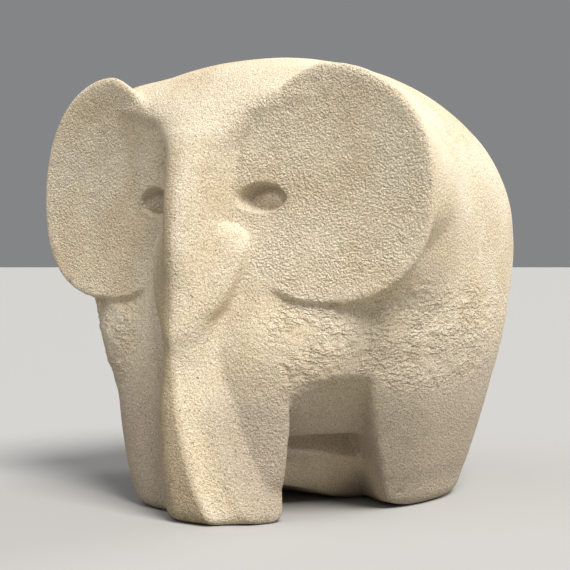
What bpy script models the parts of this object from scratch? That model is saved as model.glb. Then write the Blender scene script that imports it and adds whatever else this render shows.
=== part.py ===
"""A sandstone elephant, carved from one block and standing on its own feet.

The stone is described as a few masses that melt into each other: the body, the
front legs, the ears, the trunk with its forehead, and the tusks. Hollows are then
cut into it: the space between the legs of each side, the arch under the belly and
the eyes. Each mass is a function of a point that is negative in the stone and
positive outside it. The skin is a net drawn through the cells of a lattice that
the surface crosses. Its corners then slide onto the surface and into its rims.

Frame: metres, +Z up. The elephant looks towards -Y and its left side is +X. The
origin is on the ground under the middle of the block.
"""

import bmesh
import bpy
import numpy as np

# Driving dimension, in metres
HEIGHT = 0.276  # from the ground to the top of the back

# Proportions are in modules, and the back stands a little over one module high.
# Across is measured from the middle plane, depth from the front of the legs
# towards the tail, and height from the ground.
HEIGHT_IN_MODULES = 1.022
MODULE = HEIGHT / HEIGHT_IN_MODULES
MIDDLE_DEPTH = 0.4216  # depth of the middle of the block

# Body: an upright egg, cut flat where the face begins
BODY_HALF_WIDTH = ((0.0, 0.350), (0.05, 0.366), (0.1, 0.386), (0.25, 0.432), (0.44, 0.472), (0.6, 0.481))
BODY_MIDDLE = ((0.0, 0.46), (0.25, 0.445), (0.44, 0.43), (0.6, 0.42), (0.8, 0.385), (0.9, 0.355),
               (1.03, 0.345))
BODY_HALF_LENGTH = ((0.0, 0.29), (0.1, 0.325), (0.25, 0.375), (0.44, 0.46), (0.6, 0.51))
BODY_SQUARENESS = 2.3  # 2 is an ellipse seen from above
SHOULDER_SQUARENESS = ((0.0, 2.3), (0.15, 2.7), (0.27, 3.0), (0.36, 2.6), (0.44, 2.5), (0.56, 3.2),
                       (0.70, 3.4), (0.80, 2.8), (0.90, 2.4), (1.0, 2.2))
SHOULDER_SWELL = ((0.42, 0.0), (0.56, 0.045), (0.70, 0.095), (0.80, 0.07), (0.92, 0.0))
DOME_START = 0.62
DOME_TOP = HEIGHT_IN_MODULES
DOME_SQUARENESS = 2.2

# Front legs and chest: one rounded post, its foot carved a little off centre
LEG_HALF_WIDTH = ((0.0, 0.195), (0.1, 0.228), (0.2, 0.252), (0.28, 0.265), (0.4, 0.26), (0.55, 0.22))
LEG_FRONT = ((0.0, -0.030), (0.22, -0.030), (0.34, -0.022), (0.44, -0.004), (0.55, 0.030))
LEG_BACK = 0.25
LEG_SHIFT = ((0.0, -0.022), (0.1, -0.012), (0.2, -0.010), (0.28, -0.006), (0.40, 0.0))
LEG_TOP = 0.60

# Face: the plane of the cheeks, which leans back towards the ears
FACE_DEPTH = 0.012
FACE_LEAN = 0.13
CHEEK_HALF_WIDTH = 0.16
CHEEK_MIDDLE_HEIGHT = 0.55
CHEEK_REACH = 0.16
BEHIND_EAR = 0.060  # depth of the block's front behind the ears
UNDER_EAR = 0.022  # and under them

# Ears: two dished discs
EAR_ACROSS = 0.296
EAR_MIDDLE_HEIGHT = 0.708
EAR_HALF_WIDTH = 0.247  # from its middle outwards
EAR_INNER_WIDTH = 0.213  # and inwards
EAR_REACH_UP = 0.263
EAR_UNLIKE = 0.03  # the right ear is carved a little higher than the left
EAR_REACH_DOWN = 0.247
EAR_DISH = 0.022
EAR_FREE_BELOW = 0.52  # under this height an ear stands clear of the body
EAR_FLUSH_ABOVE = 0.68  # over this height its edge runs into the body
EAR_TAPER = ((0.48, 0.85), (0.56, 0.70), (0.66, 0.50), (0.76, 0.45), (0.86, 0.45), (0.95, 0.55))
EAR_ROUNDNESS = (2.4, 2.05, 1.65)  # under its middle, over it, and over it on the inner side; 2 is an ellipse
EAR_BACK = (0.24, 0.36)  # depth of the back where the ear is clear, and where it is flush

# Trunk and forehead: one ridge, wide at the brow, that swings left at the ground
TRUNK_HALF_WIDTH = ((0.0, 0.078), (0.1, 0.072), (0.3, 0.066), (0.5, 0.064), (0.6, 0.067), (0.72, 0.080),
                    (0.783, 0.098), (0.818, 0.129), (0.854, 0.198), (0.884, 0.333), (0.912, 0.50), (1.05, 0.6))
TRUNK_FRONT = ((0.0, -0.088), (0.1, -0.092), (0.3, -0.082), (0.6, -0.070), (0.75, -0.056), (0.783, -0.047),
               (0.818, -0.030), (0.854, -0.005), (0.884, 0.016), (0.912, 0.036), (0.94, 0.058), (0.96, 0.078),
               (0.98, 0.11), (1.02, 0.24))
TRUNK_SHIFT = ((0.0, 0.038), (0.1, 0.022), (0.2, 0.010), (0.32, 0.0))
TRUNK_POWER = 2.2
TRUNK_SIDE = 0.080  # how far the trunk's sides fall back
TRUNK_EDGE = ((0.0, 0.108), (0.1, 0.062), (0.22, 0.024), (0.36, 0.0))  # a crisp edge on the lower trunk
TRUNK_EDGE_DROP = 0.10
TRUNK_EDGE_WIDTH = 0.06
TRUNK_EDGE_CLOSE = 60.0  # how sharply the fall ends beyond that width
TRUNK_BACK = 0.20
TRUNK_TOP = 0.974
BROW_HALF_WIDTH = 0.19  # the top of the forehead is level over this width
BROW_FALL = 0.10  # how its top and its back draw in beyond that width
BROW_TURN = 0.9
BROW_SUNK = 0.008

# Tusks: leaves that grow out of the trunk's sides, pointing down
TUSK_EDGE = ((0.370, 0.012), (0.386, 0.034), (0.40, 0.050), (0.42, 0.066), (0.46, 0.092), (0.52, 0.115),
             (0.55, 0.123), (0.58, 0.128), (0.60, 0.125), (0.615, 0.116), (0.629, 0.095), (0.638, 0.055))
TUSK_FRONT = ((0.38, -0.058), (0.45, -0.044), (0.52, -0.028), (0.60, -0.008), (0.64, 0.004))
TUSK_BOTTOM = 0.374
TUSK_TOP = 0.636
TUSK_TURN = 0.26  # how much a tusk faces outwards
TUSK_RIDGE = 0.09
TUSK_BACK = 0.10
TUSK_ROLL_WIDTH = 0.05  # how far in from its edge a tusk begins to roll back
TUSK_ROLL_DEPTH = 0.016

# Eyes: an oval hollow with an eyeball sunk in it
EYE_ACROSS = 0.151
EYE_HEIGHT = 0.684
EYE_HALF_WIDTH = 0.060
EYE_HALF_HEIGHT = 0.035
EYE_DEPTH = 0.038
EYE_BANK = 0.012
EYE_BALL = (0.050, 0.016, 0.025)
EYE_BALL_SUNK = 0.042
EYE_ROUNDNESS = 1.8  # 2 is an ellipse

# Spaces between the legs
GAP_FRONT = ((0.0, 0.030), (0.05, 0.035), (0.1, 0.036), (0.2, 0.032), (0.29, 0.022))  # at a quarter out
GAP_BACK = ((0.0, 0.285), (0.05, 0.258), (0.1, 0.232), (0.2, 0.190), (0.3, 0.160))  # at a third out
GAP_FRONT_TURN = 0.5  # how far the two sides turn back towards the middle plane
GAP_BACK_TURN = 0.7
GAP_RIGHT_SHIFT = 0.05  # the right side's space starts further back
GAP_TOP = 0.173
WALL_ACROSS = 0.195  # half the stone left between the two sides, just over the arch
WALL_OPENING = 0.40  # the wall comes forward as it nears the hind leg
WALL_LEAN = 0.50
PANEL_TOP = 0.305
PANEL_ACROSS = 0.118  # half the stone left at the front of the sunk panels under the belly
PANEL_OPENING = 0.68
PANEL_LEAN = 1.05
ARCH_HEIGHT = ((-0.2, -0.08), (0.05, -0.040), (0.085, 0.004), (0.10, 0.036), (0.13, 0.050), (0.17, 0.049),
               (0.25, 0.034), (0.30, 0.014), (0.33, -0.004), (0.40, -0.04), (2.0, -0.08))
HIND_GAP_MIDDLE = (0.0, 0.80, 0.0)
HIND_GAP_SIZE = (0.045, 0.14, 0.20)

# Tail: a low rib down the rump
TAIL_TOP = 0.60
TAIL_BOTTOM = 0.30
TAIL_HALF_WIDTH = 0.034
TAIL_RELIEF = 0.014
TAIL_BANK = 0.030
FOOT_ROUNDING = 0.03

# Skin
LATTICE_SPARE = 0.027  # room beside the ears, the widest place, and over the back
LATTICE_ACROSS = EAR_ACROSS + EAR_HALF_WIDTH + LATTICE_SPARE
LATTICE_LOW = (-LATTICE_ACROSS, -0.13, -0.03)
LATTICE_HIGH = (LATTICE_ACROSS, 0.98, DOME_TOP + LATTICE_SPARE)
CELL = 0.0130
PROBE = 0.0015  # step over which the skin's slope is felt
ROUNDS = 3  # of settling
EVENING = 0.12  # how much a corner is drawn to the middle of its neighbours
KEPT_SHARE = 0.13  # share of the triangles that stay after thinning

SAND = (0.62, 0.53, 0.38, 1.0)


def clear_scene() -> None:
    """Remove everything that the new file came with."""
    for item in list(bpy.data.objects):
        bpy.data.objects.remove(item, do_unlink=True)


def union(a, b, radius):
    """Join two masses with a fillet of about the radius between them."""
    share = np.clip(0.5 + 0.5 * (b - a) / radius, 0, 1)
    return b + (a - b) * share - radius * share * (1 - share)


def common(a, b, radius):
    """Keep what two masses share, its edge rounded by about the radius."""
    return -union(-a, -b, radius)


def cut(a, b, radius):
    """Take the second mass out of the first."""
    return common(a, -b, radius)


def ramp(value, start, end):
    """Rise smoothly from 0 at the start to 1 at the end."""
    share = np.clip((value - start) / (end - start), 0, 1)
    return share * share * (3 - 2 * share)


def blend(a, b, share):
    """Mix two values."""
    return a + (b - a) * share


def follow(value, stations):
    """Read a smooth curve through (place, size) stations, without overshoot."""
    places = np.array([place for place, _ in stations])
    sizes = np.array([size for _, size in stations])
    steps = np.diff(places)
    slopes = np.diff(sizes) / steps
    tangents = np.concatenate(([slopes[0]], np.zeros(len(sizes) - 2), [0.0]))
    product = slopes[:-1] * slopes[1:]
    rising = product > 0
    tangents[1:-1][rising] = 2 * product[rising] / (slopes[:-1] + slopes[1:])[rising]
    value = np.clip(value, places[0], places[-1])
    cell = np.clip(np.searchsorted(places, value) - 1, 0, len(steps) - 1)
    step = steps[cell]
    t = (value - places[cell]) / step
    start = (1 + 2 * t) * (1 - t) ** 2 * sizes[cell] + t * (1 - t) ** 2 * step * tangents[cell]
    end = t ** 2 * (3 - 2 * t) * sizes[cell + 1] + t ** 2 * (t - 1) * step * tangents[cell + 1]
    return start + end


def ellipsoid(x, y, z, middle, size):
    """A ball drawn out to three half sizes."""
    squares = [((place - centre) / half) ** 2 for place, centre, half in zip((x, y, z), middle, size)]
    return (np.sqrt(squares[0] + squares[1] + squares[2]) - 1) * min(size)


def face_depth(x):
    """Depth of the cheeks at a distance from the middle plane."""
    return FACE_DEPTH + FACE_LEAN * np.abs(x)


def body(x, y, z):
    """The body and its domed back, squarer at the shoulders than at the rump."""
    along = (follow(z, BODY_MIDDLE) - y) / follow(z, BODY_HALF_LENGTH)
    forward = ramp(along, 0, 0.5)
    swell = 1 + follow(z, SHOULDER_SWELL) * forward
    across = np.abs(x) / (follow(z, BODY_HALF_WIDTH) * swell)
    squareness = blend(BODY_SQUARENESS, follow(z, SHOULDER_SQUARENESS), forward)
    ring = (across ** squareness + np.abs(along) ** squareness) ** (1 / squareness)
    rise = np.maximum(z - DOME_START, 0) / (DOME_TOP - DOME_START)
    return ((ring ** DOME_SQUARENESS + rise ** DOME_SQUARENESS) ** (1 / DOME_SQUARENESS) - 1) * 0.4


def front_legs(x, y, z):
    """The two front legs as one post, with the chest above them."""
    front = follow(z, LEG_FRONT)
    middle = (LEG_BACK + front) / 2
    across = np.abs(x - follow(z, LEG_SHIFT)) / follow(z, LEG_HALF_WIDTH)
    along = np.abs(y - middle) / (LEG_BACK - middle)
    squareness = 2.2 + 0.8 * ramp(z, 0, 0.1)
    ring = (across ** squareness + along ** squareness) ** (1 / squareness)
    return common((ring - 1) * 0.15, z - LEG_TOP, 0.1)


def ridge(x, y, z):
    """The front of the trunk and of the forehead it widens into."""
    offset = (x - follow(z, TRUNK_SHIFT)) / follow(z, TRUNK_HALF_WIDTH)
    soft = TRUNK_SIDE * np.minimum(np.abs(offset), 3.0) ** TRUNK_POWER
    past_edge = np.maximum(x - follow(z, TRUNK_EDGE), 0)
    beyond = np.maximum(past_edge - TRUNK_EDGE_WIDTH, 0)
    drop = TRUNK_EDGE_DROP * (1 - np.exp(-past_edge / TRUNK_EDGE_WIDTH))
    keen = np.where(offset < 0, soft, 0) + drop + TRUNK_EDGE_CLOSE * beyond ** 2
    keen_share = 1 - ramp(z, 0.24, 0.40)
    return (follow(z, TRUNK_FRONT) + blend(soft, keen, keen_share) - y) * 0.75


def trunk_body(x, y, z):
    """Body and front legs, with the front of the block cut back beside the forehead."""
    low_blend = 0.05 + 0.07 * ramp(z, 0.14, 0.40)
    block = union(body(x, y, z), front_legs(x, y, z), low_blend)
    aside = np.abs(x)
    under_ear = UNDER_EAR * ramp(aside, 0.13, 0.22)
    behind_ear = blend(under_ear, BEHIND_EAR, ramp(z, 0.50, 0.62))
    chest = 0.5 * aside ** 2 - 0.03
    front = blend(chest, face_depth(x) + behind_ear, ramp(z, 0.26, 0.54)) - y
    return common(block, union(front, ridge(x, y, z), 0.03), 0.02 + 0.03 * (1 - ramp(z, 0.46, 0.60)))


def ears(x, y, z):
    """Both ears, with the cheeks that carry them."""
    aside = np.abs(x)
    up = z - EAR_MIDDLE_HEIGHT
    reach = np.where(up < 0, EAR_REACH_DOWN, EAR_REACH_UP - EAR_UNLIKE * x)
    inner = aside < EAR_ACROSS
    half_width = np.where(inner, EAR_INNER_WIDTH, EAR_HALF_WIDTH)
    power = np.select((up < 0, inner), (EAR_ROUNDNESS[0], EAR_ROUNDNESS[2]), EAR_ROUNDNESS[1])
    out = np.abs(aside - EAR_ACROSS) / half_width
    outline = (out ** power + (np.abs(up) / reach) ** power) ** (1 / power)
    front = face_depth(x)
    dish = front + EAR_DISH * np.clip(1 - outline ** 2, 0, 1) - y
    flush = ramp(z, EAR_FREE_BELOW, EAR_FLUSH_ABOVE)
    rim = (outline - 1) * EAR_REACH_DOWN + follow(z, EAR_TAPER) * np.maximum(y - front - 0.008, 0)
    cheek = common(aside - CHEEK_HALF_WIDTH, np.abs(z - CHEEK_MIDDLE_HEIGHT) - CHEEK_REACH, 0.06)
    disc = common(dish, union(rim, cheek, 0.04), blend(0.010, 0.018, flush))
    return common(disc, y - blend(EAR_BACK[0], EAR_BACK[1], flush), 0.08)


def trunk(x, y, z):
    """The trunk where it stands out of the block; it sinks into it at the forehead."""
    sunk = ridge(x, y, z) + BROW_SUNK * ramp(z, 0.62, 0.86)
    beyond = np.maximum(np.abs(x) - BROW_HALF_WIDTH, 0)
    plate = common(sunk, y - TRUNK_BACK + BROW_TURN * beyond, 0.03)
    return common(plate, z - TRUNK_TOP + BROW_FALL * beyond, 0.025)


def tusks(x, y, z):
    """Both tusks, hidden in the trunk on their inner sides."""
    aside = np.abs(x)
    edge = follow(z, TUSK_EDGE)
    outline = common((aside - edge) * 0.7, np.maximum(TUSK_BOTTOM - z, z - TUSK_TOP), 0.004)
    roll = np.maximum(aside - edge + TUSK_ROLL_WIDTH, 0) / TUSK_ROLL_WIDTH
    front = follow(z, TUSK_FRONT) + TUSK_TURN * (aside - TUSK_RIDGE) + TUSK_ROLL_DEPTH * roll ** 2 - y
    return common(common(outline, front, 0.010), y - TUSK_BACK, 0.02)


def head(x, y, z):
    """Trunk and tusks, and how softly they meet the face behind them."""
    aside = np.abs(x)
    beside_tusk = ramp(aside, 0.060, 0.085) * ramp(z, 0.36, 0.39) * (1 - ramp(z, 0.62, 0.65))
    softness = 0.010 + 0.03 * (1 - ramp(z, 0.66, 0.80)) + 0.07 * (1 - ramp(z, 0.22, 0.36))
    return union(trunk(x, y, z), tusks(x, y, z), 0.025), blend(softness, 0.006, beside_tusk)


def leg_gaps(x, y, z):
    """The hollow between the front and the hind leg of each side."""
    aside = np.abs(x)
    front = follow(z, GAP_FRONT) + GAP_FRONT_TURN * (0.25 - aside) + GAP_RIGHT_SHIFT * (x < 0) - y
    back = y - follow(z, GAP_BACK) - GAP_BACK_TURN * (0.33 - aside)
    window = common(front, back, 0.01) * 0.8
    wall = WALL_ACROSS + WALL_OPENING * (y - 0.09) - WALL_LEAN * (z - 0.05)
    gaps = common(common(wall - aside, window, 0.01), z - GAP_TOP, 0.012)
    panel = PANEL_ACROSS + PANEL_OPENING * y + PANEL_LEAN * (z - GAP_TOP)
    sunk = common(common((panel - aside) * 0.8, window, 0.01), z - PANEL_TOP, 0.03)
    return gaps, sunk


def tail(x, y, z):
    """A low rib that hangs down the rump."""
    along = np.clip((TAIL_TOP - z) / (TAIL_TOP - TAIL_BOTTOM), 0, 1)
    half = TAIL_HALF_WIDTH * (1 - 0.30 * along + 0.35 * ramp(along, 0.7, 0.95))
    ends = np.maximum(TAIL_BOTTOM - z, 0.5 * (z - TAIL_TOP))
    strip = common(np.abs(x) - half, ends, 0.03)
    relief = TAIL_RELIEF * ramp(-strip, -0.004, TAIL_BANK)
    return relief * (y > MIDDLE_DEPTH)


def carve_eyes(form, x, y, z):
    """Cut an oval hollow on each side, and set the eyeball in it."""
    aside = np.abs(x)
    out = np.abs(aside - EYE_ACROSS) / EYE_HALF_WIDTH
    up = np.abs(z - EYE_HEIGHT) / EYE_HALF_HEIGHT
    lids = ((out ** EYE_ROUNDNESS + up ** EYE_ROUNDNESS) ** (1 / EYE_ROUNDNESS) - 1) * EYE_HALF_HEIGHT
    floor = face_depth(x) + EYE_DEPTH * ramp(-lids, -0.002, EYE_BANK)
    hollow = common(lids, y - floor, 0.004)
    middle = (EYE_ACROSS, face_depth(EYE_ACROSS) + EYE_BALL_SUNK, EYE_HEIGHT - 0.001)
    return union(cut(form, hollow, 0.005), ellipsoid(aside, y, z, middle, EYE_BALL), 0.006)


def stone(x, y, z):
    """The whole carving: negative in the stone, positive outside it."""
    block = trunk_body(x, y, z)
    behind_rim = (0.012 + 0.045 * ramp(z, 0.52, 0.66)) * ramp(y, 0.08, 0.15)
    form = union(block, ears(x, y, z), 0.008 + behind_rim)
    face, softness = head(x, y, z)
    form = union(form, face, softness)
    gaps, sunk = leg_gaps(x, y, z)
    form = cut(cut(form, sunk, 0.015), gaps, 0.012)
    form = cut(form, (z - follow(y, ARCH_HEIGHT)) * 0.7, 0.012)
    form = cut(form, ellipsoid(x, y, z, HIND_GAP_MIDDLE, HIND_GAP_SIZE), 0.04)
    form = form - tail(x, y, z)
    form = carve_eyes(form, x, y, z)
    return common(form, -z, FOOT_ROUNDING)


def fill_pinches(inside):
    """Fill the lattice's squares that are stone only crosswise, where the skin would touch itself."""
    found = True
    while found:
        found = False
        for first, second in ((0, 1), (0, 2), (1, 2)):
            corners = []
            for i, j in np.ndindex(2, 2):
                part = [slice(None)] * 3
                part[first] = slice(i, inside.shape[first] - 1 + i)
                part[second] = slice(j, inside.shape[second] - 1 + j)
                corners.append(inside[tuple(part)])
            pinched = (corners[0] == corners[3]) & (corners[1] == corners[2]) & (corners[0] != corners[1])
            found |= bool(pinched.any())
            for corner in corners:
                corner |= pinched


def net():
    """Corners and four-sided faces of a net through the lattice's cells that the surface crosses."""
    lines = [np.arange(low, high, CELL) for low, high in zip(LATTICE_LOW, LATTICE_HIGH)]
    inside = stone(*np.meshgrid(*lines, indexing="ij")) < 0
    fill_pinches(inside)
    cells = tuple(size - 1 for size in inside.shape)
    corners_inside = np.zeros(cells, dtype=int)
    for i, j, k in np.ndindex(2, 2, 2):
        corners_inside += inside[i:i + cells[0], j:j + cells[1], k:k + cells[2]]
    crossed = (corners_inside > 0) & (corners_inside < 8)
    number = np.full(cells, -1)
    number[crossed] = np.arange(crossed.sum())
    middles = np.stack([line[place] + CELL / 2 for line, place in zip(lines, np.nonzero(crossed))], axis=1)
    faces = []
    for axis in range(3):
        size = inside.shape[axis]
        before = inside.take(range(size - 1), axis=axis)
        after = inside.take(range(1, size), axis=axis)
        where = np.argwhere(before != after)
        leaving = before[tuple(where.T)]
        ring = []
        for back_first, back_second in ((1, 1), (0, 1), (0, 0), (1, 0)):
            cell = where.copy()
            cell[:, (axis + 1) % 3] -= back_first
            cell[:, (axis + 2) % 3] -= back_second
            ring.append(number[tuple(cell.T)])
        quads = np.stack(ring, axis=1)
        faces.append(np.where(leaving[:, None], quads, quads[:, ::-1]))
    return middles, np.concatenate(faces)


def slope(skin):
    """Direction and size of the steepest climb out of the stone at each corner."""
    climb = np.empty_like(skin)
    for axis in range(3):
        step = np.zeros(3)
        step[axis] = PROBE
        climb[:, axis] = (stone(*(skin + step).T) - stone(*(skin - step).T)) / (2 * PROBE)
    size = np.maximum(np.linalg.norm(climb, axis=1, keepdims=True), 0.05)
    return climb / size, size


def let_down(skin, longest):
    """Move each corner towards the surface, by no more than the longest step."""
    outward, size = slope(skin)
    return skin - outward * np.clip(stone(*skin.T)[:, None] / size, -longest, longest)


def settle(skin, edges):
    """Slide the corners to where their neighbours' faces meet, so that rims come out crisp."""
    ends = np.concatenate((edges, edges[:, ::-1]))
    ends = ends[np.argsort(ends[:, 0], kind="stable")]
    firsts = np.flatnonzero(np.diff(ends[:, 0], prepend=-1))
    neighbours = ends[:, 1]
    count = np.bincount(ends[:, 0], minlength=len(skin))[:, None]
    longest = 0.5 * CELL
    skin = let_down(let_down(skin, longest), longest)
    for _ in range(ROUNDS):
        outward, _ = slope(skin)
        planes = outward[:, :, None] * outward[:, None, :]
        places = outward * (outward * skin).sum(axis=1, keepdims=True)
        planes_sum = planes + np.add.reduceat(planes[neighbours], firsts)
        places_sum = places + np.add.reduceat(places[neighbours], firsts)
        middles = np.add.reduceat(skin[neighbours], firsts) / count
        pull = (places_sum + EVENING * middles)[:, :, None]
        move = np.linalg.solve(planes_sum + EVENING * np.eye(3), pull)[:, :, 0] - skin
        length = np.maximum(np.linalg.norm(move, axis=1, keepdims=True), 1e-9)
        skin = let_down(skin + move * np.minimum(1, longest / length), longest)
    return skin


def carve():
    """The elephant as a closed mesh, in metres."""
    corners, faces = net()
    shell = bmesh.new()
    for corner in corners:
        shell.verts.new(corner)
    shell.verts.ensure_lookup_table()
    for face in faces:
        shell.faces.new([shell.verts[corner] for corner in face])
    shell.verts.index_update()
    edges = np.array([[corner.index for corner in edge.verts] for edge in shell.edges])
    skin = (settle(corners, edges) - np.array((0.0, MIDDLE_DEPTH, 0.0))) * MODULE
    for corner, place in zip(shell.verts, skin):
        corner.co = place
    mesh = bpy.data.meshes.new("elephant")
    shell.to_mesh(mesh)
    shell.free()
    mesh.shade_smooth()
    return mesh


def sandstone():
    """Pale, matt stone."""
    material = bpy.data.materials.new("sandstone")
    material.use_nodes = True
    shader = material.node_tree.nodes["Principled BSDF"]
    shader.inputs["Base Color"].default_value = SAND
    shader.inputs["Roughness"].default_value = 0.95
    shader.inputs["Metallic"].default_value = 0.0
    return material


def build() -> None:
    """Make the elephant, its skin thinned where the stone is plain."""
    clear_scene()
    mesh = carve()
    mesh.materials.append(sandstone())
    elephant = bpy.data.objects.new("elephant", mesh)
    bpy.context.scene.collection.objects.link(elephant)
    thinning = elephant.modifiers.new("thinning", "DECIMATE")
    thinning.decimate_type = "COLLAPSE"
    thinning.ratio = KEPT_SHARE


build()
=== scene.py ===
"""Carved sandstone elephant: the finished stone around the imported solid.

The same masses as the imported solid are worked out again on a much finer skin:
body, front legs, ears, trunk and forehead, tusks, and the hollows between the
legs and at the eyes. A geometry node tree then weathers the skin with worm-like
bumps, pits and a hand-cut unevenness, and the stone's finish adds its grain.

Frame: metres, +Z up. The elephant looks towards -Y and its left side is +X.
Lengths inside the masses are in modules; Carving turns them into metres.
"""
import logging
import math
from dataclasses import dataclass, field
from enum import Enum

import bmesh
import bpy
import numpy as np
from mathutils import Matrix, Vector


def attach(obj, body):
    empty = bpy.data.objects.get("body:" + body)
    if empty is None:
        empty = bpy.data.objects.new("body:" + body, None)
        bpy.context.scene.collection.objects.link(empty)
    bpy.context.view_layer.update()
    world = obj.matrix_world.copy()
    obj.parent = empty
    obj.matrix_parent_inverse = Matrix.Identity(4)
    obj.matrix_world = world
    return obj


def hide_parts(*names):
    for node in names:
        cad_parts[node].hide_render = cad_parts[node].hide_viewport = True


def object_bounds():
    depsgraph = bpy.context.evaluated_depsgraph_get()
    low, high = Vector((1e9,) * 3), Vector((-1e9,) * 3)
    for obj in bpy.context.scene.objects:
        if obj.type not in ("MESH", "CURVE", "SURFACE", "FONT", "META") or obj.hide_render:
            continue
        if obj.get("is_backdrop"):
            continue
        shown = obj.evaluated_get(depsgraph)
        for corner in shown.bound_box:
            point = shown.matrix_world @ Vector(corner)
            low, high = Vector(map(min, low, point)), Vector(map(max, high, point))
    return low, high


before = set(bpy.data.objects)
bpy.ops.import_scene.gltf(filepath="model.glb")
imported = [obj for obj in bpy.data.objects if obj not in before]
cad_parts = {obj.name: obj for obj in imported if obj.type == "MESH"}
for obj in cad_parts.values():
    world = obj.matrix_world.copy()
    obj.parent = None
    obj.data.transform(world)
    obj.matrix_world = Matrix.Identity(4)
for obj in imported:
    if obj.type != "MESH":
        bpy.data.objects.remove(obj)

CAD_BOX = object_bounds()
FULL_CELL = 0.0080  # modules
log = logging.getLogger("elephant")

Values = np.ndarray
Node = bpy.types.Node
Socket = bpy.types.NodeSocket


# Shaping tools


def union(a: Values, b: Values, radius: Values | float) -> Values:
    """Join two masses with a fillet.

    Args:
        a: Field of the first mass, negative inside.
        b: Field of the second mass.
        radius: About the radius of the fillet.

    Returns:
        The field of the joined mass.
    """
    share = np.clip(0.5 + 0.5 * (b - a) / radius, 0, 1)
    return b + (a - b) * share - radius * share * (1 - share)


def common(a: Values, b: Values, radius: Values | float) -> Values:
    """Keep what two masses share, with the edge between them rounded."""
    return -union(-a, -b, radius)


def cut(a: Values, b: Values, radius: Values | float) -> Values:
    """Take the second mass out of the first, with the hollow's edge rounded."""
    return common(a, -b, radius)


def ramp(value: Values, start: float, end: float) -> Values:
    """Rise smoothly from 0 at the start to 1 at the end."""
    share = np.clip((value - start) / (end - start), 0, 1)
    return share * share * (3 - 2 * share)


def blend(a: Values | float, b: Values | float, share: Values) -> Values:
    """Mix two values: the first at share 0, the second at share 1."""
    return a + (b - a) * share


def rounded(a: Values, b: Values, squareness: Values | float) -> Values:
    """Distance from the middle of a plane whose circles are squared off; 2 gives true circles."""
    return (a ** squareness + b ** squareness) ** (1 / squareness)


@dataclass
class Point:
    """Places at which the masses are read, in modules."""

    x: Values
    y: Values
    z: Values

    @property
    def aside(self) -> Values:
        """Distance from the middle plane."""
        return np.abs(self.x)


def ellipsoid(p: Point, middle: tuple, size: tuple) -> Values:
    """A ball drawn out to three half sizes.

    Args:
        p: Where the field is read.
        middle: Centre of the ball.
        size: Its three half sizes.

    Returns:
        The ball's field.
    """
    axes = zip((p.x, p.y, p.z), middle, size)
    return (np.sqrt(sum(((place - centre) / half) ** 2 for place, centre, half in axes)) - 1) * min(size)


@dataclass(frozen=True)
class Ease:
    """A value that climbs smoothly from its base between two places."""

    low: float
    high: float
    base: float = 0.0
    rise: float = 1.0

    def at(self, place: Values) -> Values:
        """The value at each place."""
        return self.base + self.rise * ramp(place, self.low, self.high)


class Fall(Ease):
    """A value that comes down smoothly to its base between two places."""

    def at(self, place: Values) -> Values:
        """The value at each place."""
        return self.base + self.rise * (1 - ramp(place, self.low, self.high))


class Profile:
    """A smooth curve through (place, size) stations, without overshoot."""

    def __init__(self, *stations: tuple[float, float]) -> None:
        """Work out the slopes at the stations.

        Args:
            stations: Pairs of place and size, in rising order of place.
        """
        self.places = np.array([place for place, _ in stations])
        self.sizes = np.array([size for _, size in stations])
        self.steps = np.diff(self.places)
        slopes = np.diff(self.sizes) / self.steps
        self.slopes = np.concatenate(([slopes[0]], np.zeros(len(self.sizes) - 2), [0.0]))
        product = slopes[:-1] * slopes[1:]
        rising = product > 0
        self.slopes[1:-1][rising] = 2 * product[rising] / (slopes[:-1] + slopes[1:])[rising]

    def at(self, value: Values) -> Values:
        """Read the curve.

        Args:
            value: Places where it is read.

        Returns:
            The size at each place.
        """
        value = np.clip(value, self.places[0], self.places[-1])
        cell = np.clip(np.searchsorted(self.places, value) - 1, 0, len(self.steps) - 1)
        step = self.steps[cell]
        t = (value - self.places[cell]) / step
        start = (1 + 2 * t) * (1 - t) ** 2 * self.sizes[cell] + t * (1 - t) ** 2 * step * self.slopes[cell]
        end = t ** 2 * (3 - 2 * t) * self.sizes[cell + 1] + t ** 2 * (t - 1) * step * self.slopes[cell + 1]
        return start + end


# The masses


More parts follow.
